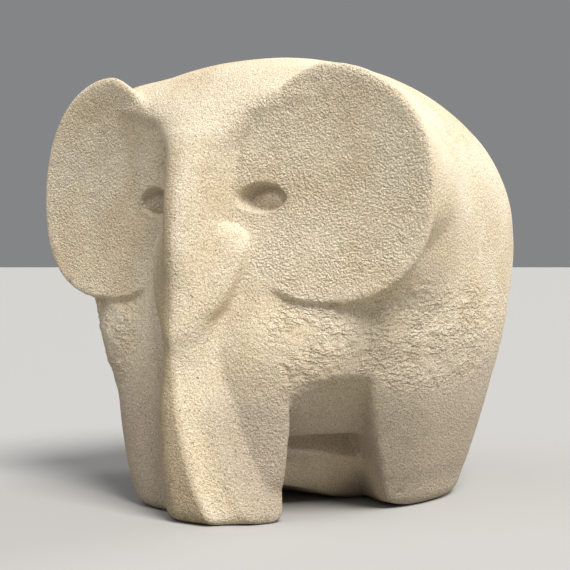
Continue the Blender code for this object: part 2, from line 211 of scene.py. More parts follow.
@dataclass
class Body:
    """The egg-shaped body with its domed back."""

    half_width: Profile = Profile((0.0, 0.350), (0.05, 0.366), (0.1, 0.386), (0.25, 0.432), (0.44, 0.472),
                                  (0.6, 0.481))
    middle: Profile = Profile((0.0, 0.46), (0.25, 0.445), (0.44, 0.43), (0.6, 0.42), (0.8, 0.385),
                              (0.9, 0.355), (1.03, 0.345))
    half_length: Profile = Profile((0.0, 0.29), (0.1, 0.325), (0.25, 0.375), (0.44, 0.46), (0.6, 0.51))
    shoulder: Ease = Ease(0.0, 0.5)
    rump_squareness: float = 2.3
    shoulder_squareness: Profile = Profile((0.0, 2.3), (0.15, 2.7), (0.27, 3.0), (0.36, 2.6), (0.44, 2.5),
                                           (0.56, 3.2), (0.70, 3.4), (0.80, 2.8), (0.90, 2.4), (1.0, 2.2))
    shoulder_swell: Profile = Profile((0.42, 0.0), (0.56, 0.045), (0.70, 0.095), (0.80, 0.07), (0.92, 0.0))
    dome_start: float = 0.62
    dome_top: float = 1.022
    dome_squareness: float = 2.2
    radius: float = 0.4  # makes the field about a distance

    def mass(self, p: Point) -> Values:
        """The body's field.

        Args:
            p: Where it is read.

        Returns:
            The field, negative inside.
        """
        along = (self.middle.at(p.z) - p.y) / self.half_length.at(p.z)
        shoulder = self.shoulder.at(along)
        swell = 1 + self.shoulder_swell.at(p.z) * shoulder
        across = p.aside / (self.half_width.at(p.z) * swell)
        squareness = blend(self.rump_squareness, self.shoulder_squareness.at(p.z), shoulder)
        ring = rounded(across, np.abs(along), squareness)
        rise = np.maximum(p.z - self.dome_start, 0) / (self.dome_top - self.dome_start)
        return (rounded(ring, rise, self.dome_squareness) - 1) * self.radius


@dataclass
class FrontLegs:
    """Both front legs and the chest over them, as one rounded post."""

    half_width: Profile = Profile((0.0, 0.195), (0.1, 0.228), (0.2, 0.252), (0.28, 0.265), (0.4, 0.26),
                                  (0.55, 0.22))
    front: Profile = Profile((0.0, -0.030), (0.22, -0.030), (0.34, -0.022), (0.44, -0.004), (0.55, 0.030))
    back: float = 0.25
    shift: Profile = Profile((0.0, -0.022), (0.1, -0.012), (0.2, -0.010), (0.28, -0.006), (0.40, 0.0))
    squareness: Ease = Ease(0.0, 0.1, 2.2, 0.8)
    radius: float = 0.15
    top: float = 0.60
    top_rounding: float = 0.1

    def mass(self, p: Point) -> Values:
        """The post's field.

        Args:
            p: Where it is read.

        Returns:
            The field, negative inside.
        """
        middle = (self.back + self.front.at(p.z)) / 2
        across = np.abs(p.x - self.shift.at(p.z)) / self.half_width.at(p.z)
        along = np.abs(p.y - middle) / (self.back - middle)
        ring = rounded(across, along, self.squareness.at(p.z))
        return common((ring - 1) * self.radius, p.z - self.top, self.top_rounding)


@dataclass
class Trunk:
    """The trunk and the forehead that it widens into."""

    half_width: Profile = Profile((0.0, 0.078), (0.1, 0.072), (0.3, 0.066), (0.5, 0.064), (0.6, 0.067),
                                  (0.72, 0.080), (0.783, 0.098), (0.818, 0.129), (0.854, 0.198),
                                  (0.884, 0.333), (0.912, 0.50), (1.05, 0.6))
    front: Profile = Profile((0.0, -0.088), (0.1, -0.092), (0.3, -0.082), (0.6, -0.070), (0.75, -0.056),
                             (0.783, -0.047), (0.818, -0.030), (0.854, -0.005), (0.884, 0.016),
                             (0.912, 0.036), (0.94, 0.058), (0.96, 0.078), (0.98, 0.11), (1.02, 0.24))
    shift: Profile = Profile((0.0, 0.038), (0.1, 0.022), (0.2, 0.010), (0.32, 0.0))
    power: float = 2.2
    side: float = 0.080
    side_reach: float = 3.0
    edge: Profile = Profile((0.0, 0.108), (0.1, 0.062), (0.22, 0.024), (0.36, 0.0))
    edge_drop: float = 0.10
    edge_width: float = 0.06
    edge_close: float = 60.0
    keenness: Fall = Fall(0.24, 0.40)
    steepness: float = 0.75
    back: float = 0.20
    back_rounding: float = 0.03
    top: float = 0.974
    top_rounding: float = 0.025
    brow_half_width: float = 0.19
    brow_fall: float = 0.10
    brow_turn: float = 0.9
    brow_sunk: Ease = Ease(0.62, 0.86, 0.0, 0.008)

    def ridge(self, p: Point) -> Values:
        """Everything behind the front of the trunk and forehead.

        Args:
            p: Where it is read.

        Returns:
            The field, negative behind the surface.
        """
        offset = (p.x - self.shift.at(p.z)) / self.half_width.at(p.z)
        soft = self.side * np.minimum(np.abs(offset), self.side_reach) ** self.power
        past_edge = np.maximum(p.x - self.edge.at(p.z), 0)
        beyond = np.maximum(past_edge - self.edge_width, 0)
        drop = self.edge_drop * (1 - np.exp(-past_edge / self.edge_width))
        keen = np.where(offset < 0, soft, 0) + drop + self.edge_close * beyond ** 2
        return (self.front.at(p.z) + blend(soft, keen, self.keenness.at(p.z)) - p.y) * self.steepness

    def mass(self, p: Point) -> Values:
        """The trunk where it stands out of the block.

        Args:
            p: Where it is read.

        Returns:
            The field, negative inside.
        """
        beyond = np.maximum(p.aside - self.brow_half_width, 0)
        behind = p.y - self.back + self.brow_turn * beyond
        plate = common(self.ridge(p) + self.brow_sunk.at(p.z), behind, self.back_rounding)
        return common(plate, p.z - self.top + self.brow_fall * beyond, self.top_rounding)


@dataclass
class Face:
    """The plane of the cheeks, which leans back towards the ears."""

    depth: float = 0.012
    lean: float = 0.13

    def front(self, aside: Values | float) -> Values:
        """Depth of the cheeks at a distance from the middle plane."""
        return self.depth + self.lean * aside


@dataclass
class Ears:
    """Two dished discs that run into the body above and stand clear of it below."""

    across: float = 0.296
    middle_height: float = 0.708
    half_width: float = 0.247
    inner_width: float = 0.213
    roundness: tuple = (2.4, 2.05, 1.65)
    reach_up: float = 0.263
    unlike: float = 0.03
    reach_down: float = 0.247
    dish: float = 0.022
    flush: Ease = Ease(0.52, 0.68)
    rim_depth: float = 0.008
    rim_rounding: tuple = (0.010, 0.018)
    taper: Profile = Profile((0.48, 0.85), (0.56, 0.70), (0.66, 0.50), (0.76, 0.45), (0.86, 0.45),
                             (0.95, 0.55))
    back: tuple = (0.24, 0.36)
    back_rounding: float = 0.08
    cheek_half_width: float = 0.16
    cheek_height: float = 0.55
    cheek_reach: float = 0.16
    cheek_rounding: float = 0.06
    cheek_fillet: float = 0.04
    face: Face = field(default_factory=Face)

    def mass(self, p: Point) -> Values:
        """Both ears, with the cheeks that carry them.

        Args:
            p: Where it is read.

        Returns:
            The field, negative inside.
        """
        up = p.z - self.middle_height
        reach = np.where(up < 0, self.reach_down, self.reach_up - self.unlike * p.x)
        inner = p.aside < self.across
        half_width = np.where(inner, self.inner_width, self.half_width)
        power = np.select((up < 0, inner), (self.roundness[0], self.roundness[2]), self.roundness[1])
        outline = rounded(np.abs(p.aside - self.across) / half_width, np.abs(up) / reach, power)
        front = self.face.front(p.aside)
        dish = front + self.dish * np.clip(1 - outline ** 2, 0, 1) - p.y
        flush = self.flush.at(p.z)
        behind = np.maximum(p.y - front - self.rim_depth, 0)
        rim = (outline - 1) * self.reach_down + self.taper.at(p.z) * behind
        ends = np.abs(p.z - self.cheek_height) - self.cheek_reach
        cheek = common(p.aside - self.cheek_half_width, ends, self.cheek_rounding)
        disc = common(dish, union(rim, cheek, self.cheek_fillet), blend(*self.rim_rounding, flush))
        return common(disc, p.y - blend(*self.back, flush), self.back_rounding)


@dataclass
class Tusks:
    """Two leaves that grow out of the trunk's sides and point down."""

    edge: Profile = Profile((0.370, 0.012), (0.386, 0.034), (0.40, 0.050), (0.42, 0.066), (0.46, 0.092),
                            (0.52, 0.115), (0.55, 0.123), (0.58, 0.128), (0.60, 0.125), (0.615, 0.116),
                            (0.629, 0.095), (0.638, 0.055))
    front: Profile = Profile((0.38, -0.058), (0.45, -0.044), (0.52, -0.028), (0.60, -0.008), (0.64, 0.004))
    bottom: float = 0.374
    top: float = 0.636
    tip_rounding: float = 0.004
    steepness: float = 0.7
    turn: float = 0.26
    ridge: float = 0.09
    roll_width: float = 0.05
    roll_depth: float = 0.016
    edge_rounding: float = 0.010
    back: float = 0.10
    back_rounding: float = 0.02

    def mass(self, p: Point) -> Values:
        """Both tusks, hidden in the trunk on their inner sides.

        Args:
            p: Where it is read.

        Returns:
            The field, negative inside.
        """
        edge = self.edge.at(p.z)
        ends = np.maximum(self.bottom - p.z, p.z - self.top)
        outline = common((p.aside - edge) * self.steepness, ends, self.tip_rounding)
        roll = np.maximum(p.aside - edge + self.roll_width, 0) / self.roll_width
        front = self.front.at(p.z) + self.turn * (p.aside - self.ridge) + self.roll_depth * roll ** 2 - p.y
        return common(common(outline, front, self.edge_rounding), p.y - self.back, self.back_rounding)


@dataclass
class LegGaps:
    """The hollow between front and hind leg of each side, and the arch under the belly."""

    front: Profile = Profile((0.0, 0.030), (0.05, 0.035), (0.1, 0.036), (0.2, 0.032), (0.29, 0.022))
    front_turn: float = 0.5
    front_aside: float = 0.25  # where the front profile holds
    back: Profile = Profile((0.0, 0.285), (0.05, 0.258), (0.1, 0.232), (0.2, 0.190), (0.3, 0.160))
    back_turn: float = 0.7
    back_aside: float = 0.33  # where the back profile holds
    right_shift: float = 0.05
    steepness: float = 0.8
    top: float = 0.173
    corner: float = 0.01
    edge: float = 0.012
    wall_across: float = 0.195
    wall_depth: float = 0.09
    wall_opening: float = 0.40
    wall_height: float = 0.05
    wall_lean: float = 0.50
    panel_across: float = 0.118
    panel_opening: float = 0.68
    panel_lean: float = 1.05
    panel_top: float = 0.305
    panel_rounding: float = 0.03
    panel_edge: float = 0.015
    arch: Profile = Profile((-0.2, -0.08), (0.05, -0.040), (0.085, 0.004), (0.10, 0.036), (0.13, 0.050),
                            (0.17, 0.049), (0.25, 0.034), (0.30, 0.014), (0.33, -0.004), (0.40, -0.04),
                            (2.0, -0.08))
    arch_steepness: float = 0.7

    def carve(self, form: Values, p: Point) -> Values:
        """Cut the hollows.

        Args:
            form: Field of the stone before the hollows.
            p: Where it is read.

        Returns:
            The field with the hollows cut.
        """
        front = self.front.at(p.z) + self.front_turn * (self.front_aside - p.aside)
        front = front + self.right_shift * (p.x < 0) - p.y
        back = p.y - self.back.at(p.z) - self.back_turn * (self.back_aside - p.aside)
        window = common(front, back, self.corner) * self.steepness
        wall = self.wall_across + self.wall_opening * (p.y - self.wall_depth)
        wall = wall - self.wall_lean * (p.z - self.wall_height)
        gaps = common(common(wall - p.aside, window, self.corner), p.z - self.top, self.edge)
        panel = self.panel_across + self.panel_opening * p.y + self.panel_lean * (p.z - self.top)
        panel = common((panel - p.aside) * self.steepness, window, self.corner)
        sunk = common(panel, p.z - self.panel_top, self.panel_rounding)
        form = cut(cut(form, sunk, self.panel_edge), gaps, self.edge)
        return cut(form, (p.z - self.arch.at(p.y)) * self.arch_steepness, self.edge)


@dataclass
class Eyes:
    """Two oval hollows, each with a sunk eyeball."""

    across: float = 0.151
    height: float = 0.684
    half_width: float = 0.060
    half_height: float = 0.035
    roundness: float = 1.8
    depth: float = 0.038
    bank: Ease = Ease(-0.002, 0.012)
    corner: float = 0.004
    edge: float = 0.005
    ball: tuple = (0.050, 0.016, 0.025)
    ball_sunk: float = 0.042
    ball_drop: float = 0.001
    ball_fillet: float = 0.006
    # Where the painted shade lies inside the eye hollows.
    shade_sunk: Ease = Ease(0.004, 0.016)
    shade_outline: Ease = Ease(-0.004, 0.004)
    shade_back: float = 0.2
    face: Face = field(default_factory=Face)

    def lids(self, p: Point) -> Values:
        """Negative between the lids."""
        out = np.abs(p.aside - self.across) / self.half_width
        up = np.abs(p.z - self.height) / self.half_height
        return (rounded(out, up, self.roundness) - 1) * self.half_height

    def hollow(self, p: Point) -> Values:
        """How far a place lies in an eye, from 0 to 1, which is where the painted shade of the eyes goes."""
        sunk = self.shade_sunk.at(p.y - self.face.front(p.aside))
        return self.shade_outline.at(-self.lids(p)) * sunk * (p.y < self.shade_back)

    def carve(self, form: Values, p: Point) -> Values:
        """Cut the eyes.

        Args:
            form: Field of the stone before the eyes.
            p: Where it is read.

        Returns:
            The field with the eyes cut.
        """
        lids = self.lids(p)
        floor = self.face.front(p.aside) + self.depth * self.bank.at(-lids)
        hollow = common(lids, p.y - floor, self.corner)
        middle = (self.across, self.face.front(self.across) + self.ball_sunk, self.height - self.ball_drop)
        ball = ellipsoid(Point(p.aside, p.y, p.z), middle, self.ball)
        return union(cut(form, hollow, self.edge), ball, self.ball_fillet)


@dataclass
class Rear:
    """The low tail, and the shallow hollow between the hind legs."""

    tail_top: float = 0.60
    tail_bottom: float = 0.30
    tail_front: float = 0.5
    tail_half_width: float = 0.034
    tail_narrowing: float = 0.30
    tail_tuft: Ease = Ease(0.7, 0.95, 0.0, 0.35)
    tail_top_slope: float = 0.5
    tail_rounding: float = 0.03
    tail_relief: Ease = Ease(-0.004, 0.030, 0.0, 0.014)
    gap_middle: tuple = (0.0, 0.80, 0.0)
    gap_size: tuple = (0.045, 0.14, 0.20)
    gap_edge: float = 0.04

    def carve(self, form: Values, p: Point) -> Values:
        """Add the tail and cut the hollow.

        Args:
            form: Field of the stone before.
            p: Where it is read.

        Returns:
            The field with both.
        """
        form = cut(form, ellipsoid(p, self.gap_middle, self.gap_size), self.gap_edge)
        along = np.clip((self.tail_top - p.z) / (self.tail_top - self.tail_bottom), 0, 1)
        half = self.tail_half_width * (1 - self.tail_narrowing * along + self.tail_tuft.at(along))
        ends = np.maximum(self.tail_bottom - p.z, self.tail_top_slope * (p.z - self.tail_top))
        strip = common(p.aside - half, ends, self.tail_rounding)
        return form - self.tail_relief.at(-strip) * (p.y > self.tail_front)


@dataclass
class Carving:
    """The whole elephant as one field, and its place in metres."""

    height: float = 0.276
    height_in_modules: float = 1.022
    middle_depth: float = 0.4216
    foot_rounding: float = 0.03
    leg_fillet: Ease = Ease(0.14, 0.40, 0.05, 0.07)
    under_ear: Ease = Ease(0.13, 0.22, 0.0, 0.022)
    behind_ear: float = 0.060
    ear_height: Ease = Ease(0.50, 0.62)
    chest_curve: float = 0.5
    chest_front: float = 0.03
    face_height: Ease = Ease(0.26, 0.54)
    front_fillet: float = 0.03
    front_rounding: Fall = Fall(0.46, 0.60, 0.02, 0.03)
    ear_fillet: float = 0.008
    rim_fillet: Ease = Ease(0.52, 0.66, 0.012, 0.045)
    behind_rim: Ease = Ease(0.08, 0.15)
    tusk_fillet: float = 0.025
    tusk_edge: float = 0.006
    tusk_side: Ease = Ease(0.060, 0.085)
    tusk_low: Ease = Ease(0.36, 0.39)
    tusk_high: Fall = Fall(0.62, 0.65)
    brow_fillet: Fall = Fall(0.66, 0.80, 0.010, 0.03)
    trunk_fillet: Fall = Fall(0.22, 0.36, 0.0, 0.07)
    body: Body = field(default_factory=Body)
    legs: FrontLegs = field(default_factory=FrontLegs)
    trunk: Trunk = field(default_factory=Trunk)
    face: Face = field(default_factory=Face)
    ears: Ears = field(default_factory=Ears)
    tusks: Tusks = field(default_factory=Tusks)
    gaps: LegGaps = field(default_factory=LegGaps)
    eyes: Eyes = field(default_factory=Eyes)
    rear: Rear = field(default_factory=Rear)

    @property
    def module(self) -> float:
        """Length of a module in metres."""
        return self.height / self.height_in_modules

    def block(self, p: Point) -> Values:
        """Body and front legs, cut back beside the forehead.

        Args:
            p: Where it is read.

        Returns:
            The field, negative inside.
        """
        block = union(self.body.mass(p), self.legs.mass(p), self.leg_fillet.at(p.z))
        behind_ear = blend(self.under_ear.at(p.aside), self.behind_ear, self.ear_height.at(p.z))
        chest = self.chest_curve * p.aside ** 2 - self.chest_front
        front = blend(chest, self.face.front(p.aside) + behind_ear, self.face_height.at(p.z)) - p.y
        front = union(front, self.trunk.ridge(p), self.front_fillet)
        return common(block, front, self.front_rounding.at(p.z))

    def field(self, places: Values) -> Values:
        """The stone's field.

        Args:
            places: Rows of x, y and z in modules.

        Returns:
            The field: negative in the stone, positive outside it.
        """
        p = Point(*places.T)
        ear_fillet = self.ear_fillet + self.rim_fillet.at(p.z) * self.behind_rim.at(p.y)
        form = union(self.block(p), self.ears.mass(p), ear_fillet)
        beside_tusk = self.tusk_side.at(p.aside) * self.tusk_low.at(p.z) * self.tusk_high.at(p.z)
        softness = self.brow_fillet.at(p.z) + self.trunk_fillet.at(p.z)
        head = union(self.trunk.mass(p), self.tusks.mass(p), self.tusk_fillet)
        form = union(form, head, blend(softness, self.tusk_edge, beside_tusk))
        for part in (self.gaps, self.rear, self.eyes):
            form = part.carve(form, p)
        return common(form, -p.z, self.foot_rounding)

    def to_metres(self, places: Values) -> Values:
        """Places in modules as places in the part's own frame."""
        return (places - np.array((0.0, self.middle_depth, 0.0))) * self.module


@dataclass
class Zones:
    """Where the stone is coarse, tan or stained, kept pale as painted light on lit faces low down, or painted
    with shade in the eyes.
    """

    carving: Carving
    ear_size: tuple = (0.25, 0.26)
    ear_inside: Fall = Fall(0.85, 1.0)
    ear_facing: Ease = Ease(0.75, 0.95)
    ear_back: float = 0.12
    flank_low: Ease = Ease(0.24, 0.32)
    flank_high: Fall = Fall(0.46, 0.54)
    flank_side: Ease = Ease(0.14, 0.24)
    flank_rear: Ease = Ease(0.35, 0.6, 1.0, -0.6)
    trunk_depth: Fall = Fall(0.04, 0.08)
    tan_side: Fall = Fall(-0.006, 0.012)
    tan_high: Fall = Fall(0.60, 0.85)
    stain_high: Fall = Fall(0.02, 0.14)
    # The lit side of the trunk and the web between the legs, where painted light keeps the low stone pale.
    band_start: Ease = Ease(0.0, 0.012)
    band_end: Fall = Fall(0.03, 0.09)
    band_high: Fall = Fall(0.30, 0.50)
    band_back: float = 0.03
    web_front: Ease = Ease(0.05, 0.09, 0.0, 0.7)
    web_rear: Fall = Fall(0.28, 0.34)
    web_side: Fall = Fall(0.26, 0.32)
    web_high: Fall = Fall(0.09, 0.13)

    def shares(self, p: Point, outward: Values) -> dict[str, Values]:
        """Work out the zones.

        Args:
            p: Places on the skin.
            outward: Unit vectors out of the stone there.

        Returns:
            The share of each zone at each place, from 0 to 1, under the zone's name.
        """
        ears, trunk = self.carving.ears, self.carving.trunk
        up = (p.z - ears.middle_height) / self.ear_size[1]
        ear = np.hypot((p.aside - ears.across) / self.ear_size[0], up)
        on_ear = self.ear_facing.at(-outward[:, 1]) * self.ear_inside.at(ear) * (p.y < self.ear_back)
        flank = self.flank_low.at(p.z) * self.flank_high.at(p.z) * self.flank_side.at(p.aside) * (1 - on_ear)
        past_edge = p.x - trunk.edge.at(p.z)
        on_trunk = self.trunk_depth.at(p.y - trunk.front.at(p.z))
        tan = on_trunk * self.tan_side.at(past_edge) * self.tan_high.at(p.z)
        # Painted light: the trunk's lit side and the lower web between the legs are kept free of the painted
        # low shade.
        band = self.band_start.at(past_edge) * self.band_end.at(past_edge) * self.band_high.at(p.z)
        web = self.web_front.at(p.y) * self.web_rear.at(p.y) * self.web_side.at(p.aside)
        lit_unshaded = np.maximum(band * (p.y < self.band_back), web * self.web_high.at(p.z))
        # The hollow zone carries the painted shade of the eyes.
        return {"flank": flank * self.flank_rear.at(p.y), "ear_face": on_ear, "tan": tan, "lit_unshaded": lit_unshaded,
                "stain": tan * self.stain_high.at(p.z), "hollow": self.carving.eyes.hollow(p)}


@dataclass
class Skin:
    """A closed skin: a net drawn through the cells that the surface crosses, then settled on it."""

    carving: Carving
    cell: float
    low: tuple = (-0.57, -0.13, -0.03)
    high: tuple = (0.57, 0.98, 1.06)
    blocks: int = 4  # cells along a block of the rough grid
    near: float = 1.7  # blocks: how close to the surface the grid is fine
    batches: int = 64
    just_outside: float = 1e-9  # the field at a grid point that lies on the surface
    probe: float = 0.0015
    least_climb: float = 0.05
    stride: float = 0.5  # cells
    least_move: float = 1e-9
    rounds: int = 2
    evening: float = 0.15

    @property
    def longest(self) -> float:
        """The longest move of a corner at a time, in modules."""
        return self.stride * self.cell

    def lines(self) -> list[Values]:
        """Places of the grid's planes along each axis, a whole number of blocks and one more."""
        spans = [(b - a) / self.cell / self.blocks for a, b in zip(self.low, self.high)]
        counts = [math.ceil(span) * self.blocks + 1 for span in spans]
        return [a + self.cell * np.arange(count) for a, count in zip(self.low, counts)]

    def sample(self, lines: list[Values]) -> Values:
        """Read the field on the grid, finely only near the surface.

        Args:
            lines: Places of the grid's planes.

        Returns:
            The field at each grid point, or just its sign far from the surface.
        """
        step, read = self.blocks, self.carving.field
        grid = np.stack(np.meshgrid(*[line[::step] for line in lines], indexing="ij"), axis=-1)
        rough = np.stack([read(sheet.reshape(-1, 3)).reshape(sheet.shape[:2]) for sheet in grid])
        near = np.abs(rough) < self.near * step * self.cell
        block = np.zeros([size - 1 for size in rough.shape], dtype=bool)
        for i, j, k in np.ndindex(2, 2, 2):
            block |= near[i:i + block.shape[0], j:j + block.shape[1], k:k + block.shape[2]]
        values = np.ones([len(line) for line in lines])
        body = tuple(slice(0, size - 1) for size in values.shape)
        values[body] = np.kron(np.sign(rough[:-1, :-1, :-1]), np.ones((step, step, step)))
        wanted = np.zeros(values.shape, dtype=bool)
        spread = np.kron(block, np.ones((step, step, step), dtype=bool))
        for i, j, k in np.ndindex(2, 2, 2):
            wanted[i:i + spread.shape[0], j:j + spread.shape[1], k:k + spread.shape[2]] |= spread
        chosen = np.argwhere(wanted)
        places = np.stack([line[chosen[:, axis]] for axis, line in enumerate(lines)], axis=1)
        batches = np.array_split(places, self.batches)
        values[wanted] = np.concatenate([read(batch) for batch in batches])
        values[values == 0] = self.just_outside
        return values

    @staticmethod
    def fill_pinches(inside: Values) -> None:
        """Fill the grid's squares that are stone only crosswise, where the skin would touch itself.

        Args:
            inside: Whether each grid point is in the stone; it is changed in place.
        """
        for first, second in ((0, 1), (0, 2), (1, 2)) * 3:
            corners = []
            for i, j in np.ndindex(2, 2):
                part = [slice(None)] * 3
                part[first] = slice(i, inside.shape[first] - 1 + i)
                part[second] = slice(j, inside.shape[second] - 1 + j)
                corners.append(inside[tuple(part)])
            pinched = (corners[0] == corners[3]) & (corners[1] == corners[2]) & (corners[0] != corners[1])
            for corner in corners:
                corner |= pinched

    def net(self) -> tuple[Values, Values]:
        """Draw the net.

        Returns:
            The corners in modules, and the four-sided faces.
        """
        lines = self.lines()
        values = self.sample(lines)
        inside = values < 0
        self.fill_pinches(inside)
        cells = tuple(size - 1 for size in values.shape)
        total = np.zeros(cells + (3,), dtype=np.float32)
        count = np.zeros(cells, dtype=np.int8)
        rings = []
        for axis in range(3):
            first = tuple(slice(0, -1) if a == axis else slice(None) for a in range(3))
            second = tuple(slice(1, None) if a == axis else slice(None) for a in range(3))
            crossed = inside[first] != inside[second]
            where = np.argwhere(crossed)
            start, end = values[first][crossed], values[second][crossed]
            end = np.where(start * end < 0, end, -start)
            place = np.stack([line[where[:, a]] for a, line in enumerate(lines)], axis=1)
            place[:, axis] += self.cell * start / (start - end)
            owners = []
            for back in np.ndindex(2, 2):
                owner = where.copy()
                owner[:, [a for a in range(3) if a != axis]] -= back
                owners.append(tuple(owner.T))
                np.add.at(total, owners[-1], place)
                np.add.at(count, owners[-1], 1)
            around = (3, 2, 0, 1) if axis == 1 else (3, 1, 0, 2)  # the owners in turn, the same way round
            rings.append(([owners[turn] for turn in around], inside[first][crossed]))
        active = count > 0
        number = np.full(cells, -1)
        number[active] = np.arange(active.sum())
        faces = []
        for ring, leaving in rings:
            quads = np.stack([number[owner] for owner in ring], axis=1)
            faces.append(np.where(leaving[:, None], quads, quads[:, ::-1]))
        return total[active] / count[active][:, None], np.concatenate(faces)

    def slope(self, skin: Values) -> tuple[Values, Values]:
        """Direction and size of the steepest climb out of the stone.

        Args:
            skin: Places where it is felt.

        Returns:
            Unit vectors, and the sizes of the climb.
        """
        climb = np.empty_like(skin)
        for axis, step in enumerate(self.probe * np.eye(3)):
            rise = self.carving.field(skin + step) - self.carving.field(skin - step)
            climb[:, axis] = rise / (2 * self.probe)
        size = np.maximum(np.linalg.norm(climb, axis=1, keepdims=True), self.least_climb)
        return climb / size, size

    def let_down(self, skin: Values) -> tuple[Values, Values]:
        """Move places towards the surface.

        Args:
            skin: The places.

        Returns:
            The new places, and the unit vectors out of the stone at the old ones.
        """
        outward, size = self.slope(skin)
        depth = np.clip(self.carving.field(skin)[:, None] / size, -self.longest, self.longest)
        return skin - outward * depth, outward

    def settle(self, skin: Values, edges: Values) -> Values:
        """Slide the corners to where their neighbours' faces meet, so that rims come out crisp.

        Args:
            skin: Places of the corners.
            edges: Pairs of corners that are neighbours.

        Returns:
            The settled places.
        """
        here, there = np.concatenate((edges, edges[:, ::-1])).T
        order = np.argsort(here, kind="stable")
        here, there = here[order], there[order]
        firsts = np.flatnonzero(np.diff(here, prepend=-1))
        count = np.bincount(here, minlength=len(skin))[:, None]
        for _ in range(self.rounds):
            skin, outward = self.let_down(skin)
            planes = outward[:, :, None] * outward[:, None, :]
            places = outward * (outward * skin).sum(axis=1, keepdims=True)
            planes_sum = planes + np.add.reduceat(planes[there], firsts)
            places_sum = places + np.add.reduceat(places[there], firsts)
            middles = np.add.reduceat(skin[there], firsts) / count
            right = (places_sum + self.evening * middles)[:, :, None]
            move = np.linalg.solve(planes_sum + self.evening * np.eye(3), right)[:, :, 0] - skin
            length = np.maximum(np.linalg.norm(move, axis=1, keepdims=True), self.least_move)
            skin = skin + move * np.minimum(1, self.longest / length)
        return self.let_down(skin)[0]

    def build(self, name: str) -> bpy.types.Object:
        """Make the skin as an object, with the zones stored on it for the weathering and the finish.

        Args:
            name: Name of the object and its mesh.

        Returns:
            The new object, at the origin.
        """
        corners, faces = self.net()
        mesh = bpy.data.meshes.new(name)
        mesh.from_pydata(corners, [], faces)
        edges = np.empty(len(mesh.edges) * 2, dtype=np.int32)
        mesh.edges.foreach_get("vertices", edges)
        skin = self.settle(corners.astype(float), edges.reshape(-1, 2))
        mesh.vertices.foreach_set("co", self.carving.to_metres(skin).ravel())
        mesh.update()
        mesh.shade_smooth()
        outward, _ = self.slope(skin)
        for zone, share in Zones(self.carving).shares(Point(*skin.T), outward).items():
            layer = mesh.attributes.new(zone, "FLOAT", "POINT")
            layer.data.foreach_set("value", share.astype(np.float32))
        piece = bpy.data.objects.new(name, mesh)
        bpy.context.scene.collection.objects.link(piece)
        return piece


# Weathering, as geometry nodes


class Feature(Enum):
    """Kinds of relief that the weather and the chisel left."""

    WORMS = "worms"
    PITS = "pits"
    DENTS = "dents"


@dataclass
class NodeSheet:
    """A node tree with short calls for placing and joining nodes."""

    tree: bpy.types.NodeTree

    def add(self, kind: str, **settings: object) -> Node:
        """Place a node.

        Args:
            kind: Blender's name of the node type.
            settings: Properties to set on it.

        Returns:
            The new node.
        """
        node = self.tree.nodes.new(kind)
        for name, value in settings.items():
            setattr(node, name, value)
        return node

    def join(self, source: Socket | float | tuple, target: Socket) -> None:
        """Link a socket to a target, or set the target to a number or numbers.

        Args:
            source: What the target gets.
            target: An input of a node.
        """
        if isinstance(source, (int, float, tuple)):
            target.default_value = source
        else:
            self.tree.links.new(source, target)

    def join_all(self, node: Node, **sources: object) -> None:
        """Join sources to the inputs of a node that have their names."""
        for name, source in sources.items():
            self.join(source, node.inputs[name])

    def math(self, operation: str, a: object, b: object = 0.0, c: object = 0.0) -> Socket:
        """A Math node.

        Args:
            operation: The sum it does.
            a: First socket or number.
            b: Second socket or number.
            c: Third socket or number.

        Returns:
            Its output socket.
        """
        node = self.add("ShaderNodeMath", operation=operation)
        for value, socket in zip((a, b, c), node.inputs):
            self.join(value, socket)
        return node.outputs[0]

    def vector(self, operation: str, a: object, b: object, second: int | str = 1) -> Socket:
        """A Vector Math node.

        Args:
            operation: The sum it does.
            a: First socket.
            b: Second socket or numbers.
            second: The input that takes it.

        Returns:
            Its output socket.
        """
        node = self.add("ShaderNodeVectorMath", operation=operation)
        self.join(a, node.inputs[0])
        self.join(b, node.inputs[second])
        return node.outputs[0]

    def noise(self, place: object, scale: object, detail: float = 2.0, rough: float = 0.5) -> Socket:
        """A noise pattern from 0 to 1.

        Args:
            place: Socket with the position.
            scale: Cells per metre.
            detail: Octaves.
            rough: How much the finer octaves weigh.

        Returns:
            The pattern's value.
        """
        node = self.add("ShaderNodeTexNoise", noise_dimensions="3D")
        self.join_all(node, Vector=place, Scale=scale, Detail=detail, Roughness=rough)
        return node.outputs[0]

    def span(self, value: object, low: float, high: float) -> Socket:
        """Rise smoothly from 0 at one value to 1 at another.

        Args:
            value: Socket that is read.
            low: Value that gives 0.
            high: Value that gives 1.

        Returns:
            The share from 0 to 1.
        """
        node = self.add("ShaderNodeMapRange", interpolation_type="SMOOTHSTEP")
        self.join_all(node, **{"Value": value, "From Min": low, "From Max": high})
        return node.outputs["Result"]


